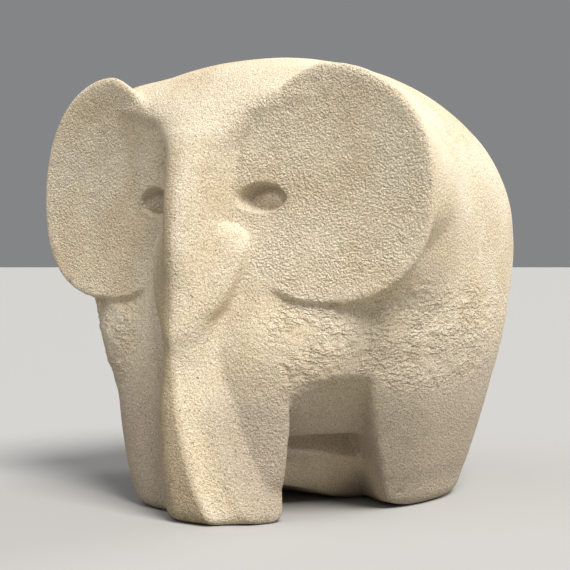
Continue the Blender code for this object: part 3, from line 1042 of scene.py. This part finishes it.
@dataclass
class Weathering:
    """Real relief on the skin: worm-like bumps on the flanks, pits, and the chisel's dents."""

    worm_height: float = 0.0011
    worm_scale: float = 260.0
    worm_stretch: tuple = (0.62, 0.62, 1.25)
    worm_band: tuple = (0.40, 0.66)
    worm_base: float = 0.45
    patch_scale: float = 46.0
    patch_band: tuple = (0.30, 0.62)
    pit_depth: float = 0.0007
    pit_scale: float = 230.0
    pit_start: float = 0.665
    pit_start_on_ears: float = -0.035
    pit_bank: float = 0.07
    dent_height: float = 0.0009
    dent_scale: float = 34.0
    dent_top: float = 0.75
    clear_of_ground: float = 0.004
    seed: float = 4.7
    features: tuple[Feature, ...] = tuple(Feature)

    def tree(self, finish: bpy.types.Material) -> tuple[bpy.types.NodeTree, dict[str, float]]:
        """Build the node tree.

        Args:
            finish: Material that the tree sets.

        Returns:
            The tree, and the value of each named input.
        """
        tree = bpy.data.node_groups.new("weathering", "GeometryNodeTree")
        tree.interface.new_socket("Geometry", in_out="INPUT", socket_type="NodeSocketGeometry")
        values = {"Worm height": self.worm_height, "Worm scale": self.worm_scale, "Pit depth": self.pit_depth,
                  "Pit scale": self.pit_scale, "Dent height": self.dent_height, "Dent scale": self.dent_scale,
                  "Seed": self.seed}
        for name, value in values.items():
            socket = tree.interface.new_socket(name, in_out="INPUT", socket_type="NodeSocketFloat")
            socket.default_value = value
        tree.interface.new_socket("Geometry", in_out="OUTPUT", socket_type="NodeSocketGeometry")
        sheet = NodeSheet(tree)
        inlet = sheet.add("NodeGroupInput")
        outlet = sheet.add("NodeGroupOutput")
        place = sheet.add("GeometryNodeInputPosition").outputs[0]
        shifted = sheet.vector("ADD", place, inlet.outputs["Seed"])
        kinds = {Feature.WORMS: self.worms, Feature.PITS: self.pits, Feature.DENTS: self.dents}
        relief = 0.0
        for feature in self.features:
            relief = sheet.math("ADD", kinds[feature](sheet, shifted, inlet), relief)
        parts = sheet.add("ShaderNodeSeparateXYZ")
        sheet.join(place, parts.inputs[0])
        relief = sheet.math("MULTIPLY", relief, sheet.span(parts.outputs["Z"], 0.0, self.clear_of_ground))
        normal = sheet.add("GeometryNodeInputNormal").outputs[0]
        moved = sheet.add("GeometryNodeSetPosition")
        offset = sheet.vector("SCALE", normal, relief, "Scale")
        sheet.join_all(moved, Geometry=inlet.outputs["Geometry"], Offset=offset)
        real = sheet.add("GeometryNodeRealizeInstances")
        sheet.join(moved.outputs[0], real.inputs[0])
        dressed = sheet.add("GeometryNodeSetMaterial")
        sheet.join(real.outputs[0], dressed.inputs["Geometry"])
        dressed.inputs["Material"].default_value = finish
        sheet.join(dressed.outputs[0], outlet.inputs[0])
        return tree, values

    @staticmethod
    def zone(sheet: NodeSheet, name: str) -> Socket:
        """The stored share of a zone of the skin.

        Args:
            sheet: The tree.
            name: The zone's name.

        Returns:
            Socket with the share.
        """
        node = sheet.add("GeometryNodeInputNamedAttribute", data_type="FLOAT")
        node.inputs["Name"].default_value = name
        return node.outputs["Attribute"]

    def worms(self, sheet: NodeSheet, place: object, inlet: Node) -> Socket:
        """Short bumps drawn out level, where the flank is coarse.

        Args:
            sheet: The tree.
            place: Socket with the position.
            inlet: The tree's inputs.

        Returns:
            The relief in metres.
        """
        drawn = sheet.vector("MULTIPLY", place, self.worm_stretch)
        fine = sheet.noise(drawn, inlet.outputs["Worm scale"], 1.5, 0.45)
        bumps = sheet.math("SUBTRACT", sheet.span(fine, *self.worm_band), self.worm_base)
        patchy = sheet.span(sheet.noise(place, self.patch_scale), *self.patch_band)
        share = sheet.math("MULTIPLY", self.zone(sheet, "flank"), patchy)
        return sheet.math("MULTIPLY", sheet.math("MULTIPLY", bumps, share), inlet.outputs["Worm height"])

    def pits(self, sheet: NodeSheet, place: object, inlet: Node) -> Socket:
        """Scattered small pits, closer together on the ears.

        Args:
            sheet: The tree.
            place: Socket with the position.
            inlet: The tree's inputs.

        Returns:
            The relief in metres, negative in the pits.
        """
        rough = sheet.noise(place, inlet.outputs["Pit scale"], 2.0, 0.6)
        ears = self.zone(sheet, "ear_face")
        start = sheet.math("MULTIPLY_ADD", ears, self.pit_start_on_ears, self.pit_start)
        sunk = sheet.span(sheet.math("SUBTRACT", rough, start), 0.0, self.pit_bank)
        return sheet.math("MULTIPLY", sunk, sheet.math("MULTIPLY", inlet.outputs["Pit depth"], -1.0))

    def dents(self, sheet: NodeSheet, place: object, inlet: Node) -> Socket:
        """Slow unevenness left by hand carving, nearly all of it below the drawn surface.

        Args:
            sheet: The tree.
            place: Socket with the position.
            inlet: The tree's inputs.

        Returns:
            The relief in metres.
        """
        slow = sheet.math("SUBTRACT", sheet.noise(place, inlet.outputs["Dent scale"]), self.dent_top)
        return sheet.math("MULTIPLY", slow, inlet.outputs["Dent height"])

    def apply(self, piece: bpy.types.Object, finish: bpy.types.Material) -> None:
        """Weather a piece and leave it as a plain mesh.

        Args:
            piece: The smooth skin.
            finish: Material that it gets.
        """
        tree, values = self.tree(finish)
        modifier = piece.modifiers.new("weathering", "NODES")
        modifier.node_group = tree
        for item in tree.interface.items_tree:
            if item.in_out == "INPUT" and item.name in values:
                modifier[item.identifier] = values[item.name]
        graph = bpy.context.evaluated_depsgraph_get()
        weathered = bpy.data.meshes.new_from_object(piece.evaluated_get(graph), depsgraph=graph)
        weathered.name = piece.name
        piece.modifiers.remove(modifier)
        piece.data = weathered


# Finishes


@dataclass(frozen=True)
class Grain:
    """Sand grains, specks and fine pits of sandstone, as values that change over the surface."""

    grain_scale: float = 1500.0
    grain_height: float = 0.5
    coarse_scale: float = 0.42  # times the grain's
    coarse_height: float = 1.1
    pit_scale: float = 620.0
    pit_band: tuple = (0.66, 0.75)
    pit_height: float = -0.8
    patch_scale: float = 60.0
    patch_band: tuple = (0.35, 0.60)
    worm_scale: float = 400.0
    worm_stretch: tuple = (0.7, 0.7, 1.25)
    worm_band: tuple = (0.42, 0.62)
    bump_scale: float = 760.0
    bump_band: tuple = (0.35, 0.65)
    bump_patches: tuple = (0.6, 0.4)
    cloud_scale: float = 22.0

    def group(self) -> bpy.types.NodeTree:
        """Build the shader node group.

        Returns:
            A group with the outputs Grain, Height, Pits, Cloud, Worms and Bumps.
        """
        tree = bpy.data.node_groups.new("sandstone grain", "ShaderNodeTree")
        tree.interface.new_socket("Vector", in_out="INPUT", socket_type="NodeSocketVector")
        scales = {"Grain scale": self.grain_scale, "Pit scale": self.pit_scale, "Worm scale": self.worm_scale,
                  "Bump scale": self.bump_scale, "Cloud scale": self.cloud_scale}
        for name, value in scales.items():
            socket = tree.interface.new_socket(name, in_out="INPUT", socket_type="NodeSocketFloat")
            socket.default_value = value
        sheet = NodeSheet(tree)
        inlet = sheet.add("NodeGroupInput")
        place = inlet.outputs["Vector"]
        grain = sheet.noise(place, inlet.outputs["Grain scale"], 1.0, 0.6)
        cloud = sheet.noise(place, inlet.outputs["Cloud scale"], 4.0, 0.55)
        coarse_scale = sheet.math("MULTIPLY", inlet.outputs["Grain scale"], self.coarse_scale)
        coarse = sheet.math("MULTIPLY", sheet.noise(place, coarse_scale, 2.0, 0.55), self.coarse_height)
        pits = sheet.span(sheet.noise(place, inlet.outputs["Pit scale"], 2.0, 0.6), *self.pit_band)
        height = sheet.math("MULTIPLY_ADD", grain, self.grain_height, coarse)
        height = sheet.math("MULTIPLY_ADD", pits, self.pit_height, height)
        patchy = sheet.span(sheet.noise(place, self.patch_scale), *self.patch_band)
        drawn = sheet.vector("MULTIPLY", place, self.worm_stretch)
        worms = sheet.span(sheet.noise(drawn, inlet.outputs["Worm scale"]), *self.worm_band)
        bumps = sheet.span(sheet.noise(place, inlet.outputs["Bump scale"], 1.0), *self.bump_band)
        weight = sheet.math("MULTIPLY_ADD", patchy, *self.bump_patches)
        results = {"Grain": grain, "Height": height, "Pits": pits, "Cloud": cloud,
                   "Worms": sheet.math("MULTIPLY", worms, patchy),
                   "Bumps": sheet.math("MULTIPLY", bumps, weight)}
        for name in results:
            tree.interface.new_socket(name, in_out="OUTPUT", socket_type="NodeSocketFloat")
        sheet.join_all(sheet.add("NodeGroupOutput"), **results)
        return tree


@dataclass(frozen=True)
class Sandstone:
    """Pale, warm, matt sandstone, with a tan side to the trunk and painted shade low down and in the eyes."""

    name: str = "pale_sandstone"
    pale: tuple = (0.80, 0.70, 0.53, 1.0)
    warm: tuple = (0.72, 0.60, 0.42, 1.0)
    warm_band: tuple = (0.38, 0.66)
    # Painted shade: the darker tone laid on the stone low down and in the eye hollows, where it stands in
    # shade.
    shade_grey: tuple = (0.48, 0.405, 0.315, 1.0)
    low_shade_share: float = 0.85
    low_shade_band: tuple = (0.150, 0.075)
    low_shade_waver: float = 0.06
    tan: tuple = (0.52, 0.415, 0.265, 1.0)
    tan_share: float = 0.85
    eye_shade_share: float = 0.55
    speck: tuple = (0.27, 0.215, 0.15, 1.0)
    stain_share: float = 0.6
    stain_band: tuple = (0.0, 0.8)
    pit_share: float = 0.75
    grain_light: tuple = (1.8, 0.10)
    roughness: float = 0.93
    specular: float = 0.25
    bump: float = 0.9
    bump_depth: float = 0.0010
    worm_share: float = 1.25
    bump_share: float = 0.6

    def material(self, grain: bpy.types.NodeTree) -> bpy.types.Material:
        """Make the material.

        Args:
            grain: The shared grain group.

        Returns:
            The new material.
        """
        material = bpy.data.materials.new(self.name)
        material.use_nodes = True
        sheet = NodeSheet(material.node_tree)
        shader = material.node_tree.nodes["Principled BSDF"]
        place = sheet.add("ShaderNodeTexCoord").outputs["Object"]
        group = sheet.add("ShaderNodeGroup", node_tree=grain)
        sheet.join(place, group.inputs["Vector"])
        parts = sheet.add("ShaderNodeSeparateXYZ")
        sheet.join(place, parts.inputs[0])
        height = group.outputs["Height"]
        patterns = (("Worms", "flank", self.worm_share), ("Bumps", "ear_face", self.bump_share))
        for pattern, zone, share in patterns:
            weight = sheet.math("MULTIPLY", self.zone(sheet, zone), share)
            height = sheet.math("MULTIPLY_ADD", group.outputs[pattern], weight, height)
        bump = sheet.add("ShaderNodeBump")
        sheet.join_all(bump, Strength=self.bump, Distance=self.bump_depth, Height=height)
        colour = self.colour(sheet, group.outputs, parts.outputs["Z"])
        sheet.join_all(shader, **{"Base Color": colour, "Normal": bump.outputs[0],
                                  "Roughness": self.roughness, "Specular IOR Level": self.specular})
        return material

    def colour(self, sheet: NodeSheet, grain: object, height: Socket) -> Socket:
        """Lay the tones over each other, with painted shade low down and in the eyes, then the light and dark
        of the grains and the pits.

        Args:
            sheet: The material's tree.
            grain: Outputs of the grain group.
            height: Socket with the height over the ground.

        Returns:
            Socket with the stone's colour.
        """
        # Painted shade, darker towards the bottom; held off on the trunk's lit side and the web, which stay
        # pale as painted light.
        low = sheet.span(sheet.math("MULTIPLY_ADD", grain["Cloud"], self.low_shade_waver, height), *self.low_shade_band)
        low = sheet.math("MULTIPLY", low, sheet.math("SUBTRACT", 1.0, self.zone(sheet, "lit_unshaded")))
        blotches = sheet.span(grain["Bumps"], *self.stain_band)
        stain = sheet.math("MULTIPLY", self.zone(sheet, "stain"), blotches)
        colour = self.mix(sheet, sheet.span(grain["Cloud"], *self.warm_band), self.pale, self.warm)
        layers = ((low, self.low_shade_share, self.shade_grey),
                  (self.zone(sheet, "tan"), self.tan_share, self.tan),
                  # painted shade in the eye hollows
                  (self.zone(sheet, "hollow"), self.eye_shade_share, self.shade_grey),
                  (stain, self.stain_share, self.speck))
        for zone, share, tone in layers:
            colour = self.mix(sheet, sheet.math("MULTIPLY", zone, share), colour, tone)
        shade = sheet.add("ShaderNodeCombineColor")
        light = sheet.math("MULTIPLY_ADD", grain["Grain"], *self.grain_light)
        for socket in shade.inputs:
            sheet.join(light, socket)
        colour = self.mix(sheet, 1.0, colour, shade.outputs[0], "MULTIPLY")
        return self.mix(sheet, sheet.math("MULTIPLY", grain["Pits"], self.pit_share), colour, self.speck)

    @staticmethod
    def zone(sheet: NodeSheet, name: str) -> Socket:
        """The stored share of a zone of the piece."""
        return sheet.add("ShaderNodeAttribute", attribute_name=name).outputs["Fac"]

    @staticmethod
    def mix(sheet: NodeSheet, share: object, a: object, b: object, how: str = "MIX") -> Socket:
        """Mix two colours.

        Args:
            sheet: The material's tree.
            share: Socket or number with the share of the second colour.
            a: First colour or socket.
            b: Second colour or socket.
            how: Blender's name of the way of mixing.

        Returns:
            The mixed colour.
        """
        node = sheet.add("ShaderNodeMix", data_type="RGBA", blend_type=how)
        sheet.join_all(node, Factor=share, A=a, B=b)
        return node.outputs["Result"]


# The studio


@dataclass
class Lamp:
    """A broad, distant, soft light."""

    name: str
    azimuth: float
    elevation: float
    strength: float
    spread: float = 25.0
    colour: tuple = (1.0, 1.0, 1.0)

    def build(self) -> None:
        """Turn the light so that it shines from its azimuth and elevation."""
        data = bpy.data.lights.new(self.name, "SUN")
        data.angle = math.radians(self.spread)
        data.energy = self.strength
        data.color = self.colour
        lamp = bpy.data.objects.new(self.name, data)
        turn, rise = math.radians(self.azimuth), math.radians(self.elevation)
        source = Vector((math.sin(turn) * math.cos(rise), -math.cos(turn) * math.cos(rise), math.sin(rise)))
        lamp.rotation_euler = source.to_track_quat("Z", "Y").to_euler()
        bpy.context.scene.collection.objects.link(lamp)


@dataclass
class Studio:
    """Pale floor, soft light and the camera at the photograph's viewing angle."""

    carving: Carving
    azimuth: float = 35.0
    distance: float = 2.765
    pixels_per_unit: float = 1280.0
    picture_side: float = 570.0
    sideways: float = 0.1965
    eye_height: float = 0.5415
    horizon_row: float = 265.0
    nearest: float = 0.01
    floor_radius: float = 80.0
    floor_sides: int = 96
    floor_drop: float = 0.0002
    floor_roughness: float = 0.9
    floor_tone: tuple = (0.44, 0.437, 0.43, 1.0)
    floor_bounce: tuple = (0.30, 0.288, 0.268, 1.0)
    sky_tone: tuple = (0.86, 0.87, 0.90, 1.0)
    sky_strength: float = 0.27
    lamps: tuple = (
        Lamp("key", 65.0, 54.0, 3.9, 28.0, (1.0, 0.975, 0.935)),
        Lamp("side", 152.0, 24.0, 1.2),
        Lamp("fill", -25.0, 55.0, 0.55, 50.0),
    )

    def camera(self) -> None:
        """Place the camera as in the photograph, and make it the scene's."""
        turn = math.radians(self.azimuth)
        right = np.array((math.cos(turn), math.sin(turn), 0.0))
        ahead = np.array((-math.sin(turn), math.cos(turn), 0.0))
        eye = right * self.sideways - ahead * self.distance + np.array((0.0, 0.0, self.eye_height))
        data = bpy.data.cameras.new("camera")
        data.lens = data.sensor_width * self.pixels_per_unit / self.picture_side
        data.clip_start = self.nearest
        camera = bpy.data.objects.new("camera", data)
        camera.location = self.carving.to_metres(eye)
        tilt = math.atan((self.picture_side / 2 - self.horizon_row) / self.pixels_per_unit)
        camera.rotation_euler = (math.pi / 2 - tilt, 0.0, turn)
        bpy.context.scene.collection.objects.link(camera)
        bpy.context.scene.camera = camera

    def floor(self) -> None:
        """Lay a wide disc just under the elephant, in one tone to the camera and another to the stone."""
        disc = bmesh.new()
        bmesh.ops.create_circle(disc, cap_ends=True, segments=self.floor_sides, radius=self.floor_radius)
        mesh = bpy.data.meshes.new("floor")
        disc.to_mesh(mesh)
        disc.free()
        material = bpy.data.materials.new("pale_floor")
        material.use_nodes = True
        shader = material.node_tree.nodes["Principled BSDF"]
        sheet = NodeSheet(material.node_tree)
        seen = sheet.add("ShaderNodeLightPath").outputs["Is Camera Ray"]
        tone = Sandstone.mix(sheet, seen, self.floor_bounce, self.floor_tone)
        sheet.join_all(shader, **{"Base Color": tone, "Roughness": self.floor_roughness})
        mesh.materials.append(material)
        floor = bpy.data.objects.new("floor", mesh)
        floor.location.z = -self.floor_drop
        bpy.context.scene.collection.objects.link(floor)
        floor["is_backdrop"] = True

    def sky(self) -> None:
        """Light the surroundings evenly."""
        world = bpy.data.worlds.new("surroundings")
        world.use_nodes = True
        background = world.node_tree.nodes["Background"]
        background.inputs["Color"].default_value = self.sky_tone
        background.inputs["Strength"].default_value = self.sky_strength
        bpy.context.scene.world = world

    def build(self) -> None:
        """Set up camera, floor, lamps and surroundings."""
        bpy.context.scene.view_settings.view_transform = "Standard"
        self.camera()
        self.floor()
        self.sky()
        for lamp in self.lamps:
            lamp.build()


def main() -> None:
    """Carve, weather and dress the elephant, and set up the studio."""
    logging.basicConfig(level=logging.INFO, format="%(name)s: %(message)s")
    carving = Carving()
    Studio(carving).build()
    finish = Sandstone().material(Grain().group())
    elephant = Skin(carving, FULL_CELL).build("carved_elephant")
    Weathering().apply(elephant, finish)
    log.info("%s: %d faces", elephant.name, len(elephant.data.polygons))
    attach(elephant, "root")
    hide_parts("elephant")
    look_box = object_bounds()
    for name, (low, high) in {"cad": CAD_BOX, "visual": look_box}.items():
        log.info("%s box %s %s", name, [round(v, 5) for v in low], [round(v, 5) for v in high])


if __name__ == "__main__":
    main()
